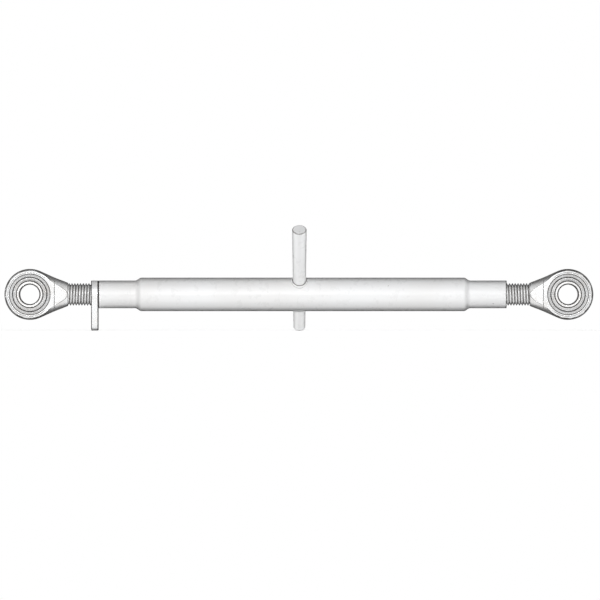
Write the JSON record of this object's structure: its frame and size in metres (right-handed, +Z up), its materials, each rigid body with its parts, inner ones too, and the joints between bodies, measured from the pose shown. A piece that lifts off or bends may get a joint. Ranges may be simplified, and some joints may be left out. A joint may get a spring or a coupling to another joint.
{
  "type": "top link",
  "caption": "Turnbuckle top link: a swaged barrel between swivel ball ends on opposite-hand screws, with a cross handle that turns the barrel and a lock lever that jams it.",
  "frame": {"origin": "centre of the left ball's pin bore", "axes": "+X along the link from the left eye to the right eye, +Y along the pin bores, +Z up"},
  "size_m": [0.5868, 0.091, 0.1051],
  "materials": {
    "barrel_enamel": "pale grey satin enamel over swaged tube and weld",
    "lever_zinc": "bright zinc plate on cut and tapped steel plate",
    "forging_zinc": "bright zinc plate over forged skin, machined flats and threads",
    "ball_steel": "turned and hardened steel"
  },
  "bodies": {
    "left_end": {"left_ball_end": "forging_zinc"},
    "left_ball": {"left_ball": "ball_steel"},
    "lock_lever": {"lock_lever": "lever_zinc"},
    "barrel": {"barrel": "barrel_enamel", "turning_handle": "barrel_enamel", "upper_handle_weld": "barrel_enamel", "lower_handle_weld": "barrel_enamel"},
    "right_end": {"right_ball_end": "forging_zinc"},
    "right_ball": {"right_ball": "ball_steel"}
  },
  "joints": [
    {"name": "barrel_turn", "type": "hinge", "parent": "lock_lever", "child": "barrel", "pos_m": [0.0685, 0, 0], "axis": [-1, 0, 0], "range_deg": [-2520, 11520]},
    {"name": "left_screw_travel", "type": "slide", "parent": "left_end", "child": "lock_lever", "axis": [1, 0, 0], "range_m": [-0.01976, 0.09032]},
    {"name": "right_screw_travel", "type": "slide", "parent": "lock_lever", "child": "right_end", "axis": [1, 0, 0], "range_m": [-0.01976, 0.09032]},
    {"name": "left_ball_swivel", "type": "hinge", "parent": "left_end", "child": "left_ball", "pos_m": [0, 0, 0], "axis": [0, 0, 1], "range_deg": [-15, 15]},
    {"name": "right_ball_swivel", "type": "hinge", "parent": "right_end", "child": "right_ball", "pos_m": [0.536, 0, 0], "axis": [0, 0, 1], "range_deg": [-15, 15]}
  ],
  "couplings": [
    {"joint": "left_screw_travel", "follows": "barrel_turn", "m_per_rad": 0.00044917},
    {"joint": "right_screw_travel", "follows": "barrel_turn", "m_per_rad": 0.00044917}
  ]
}
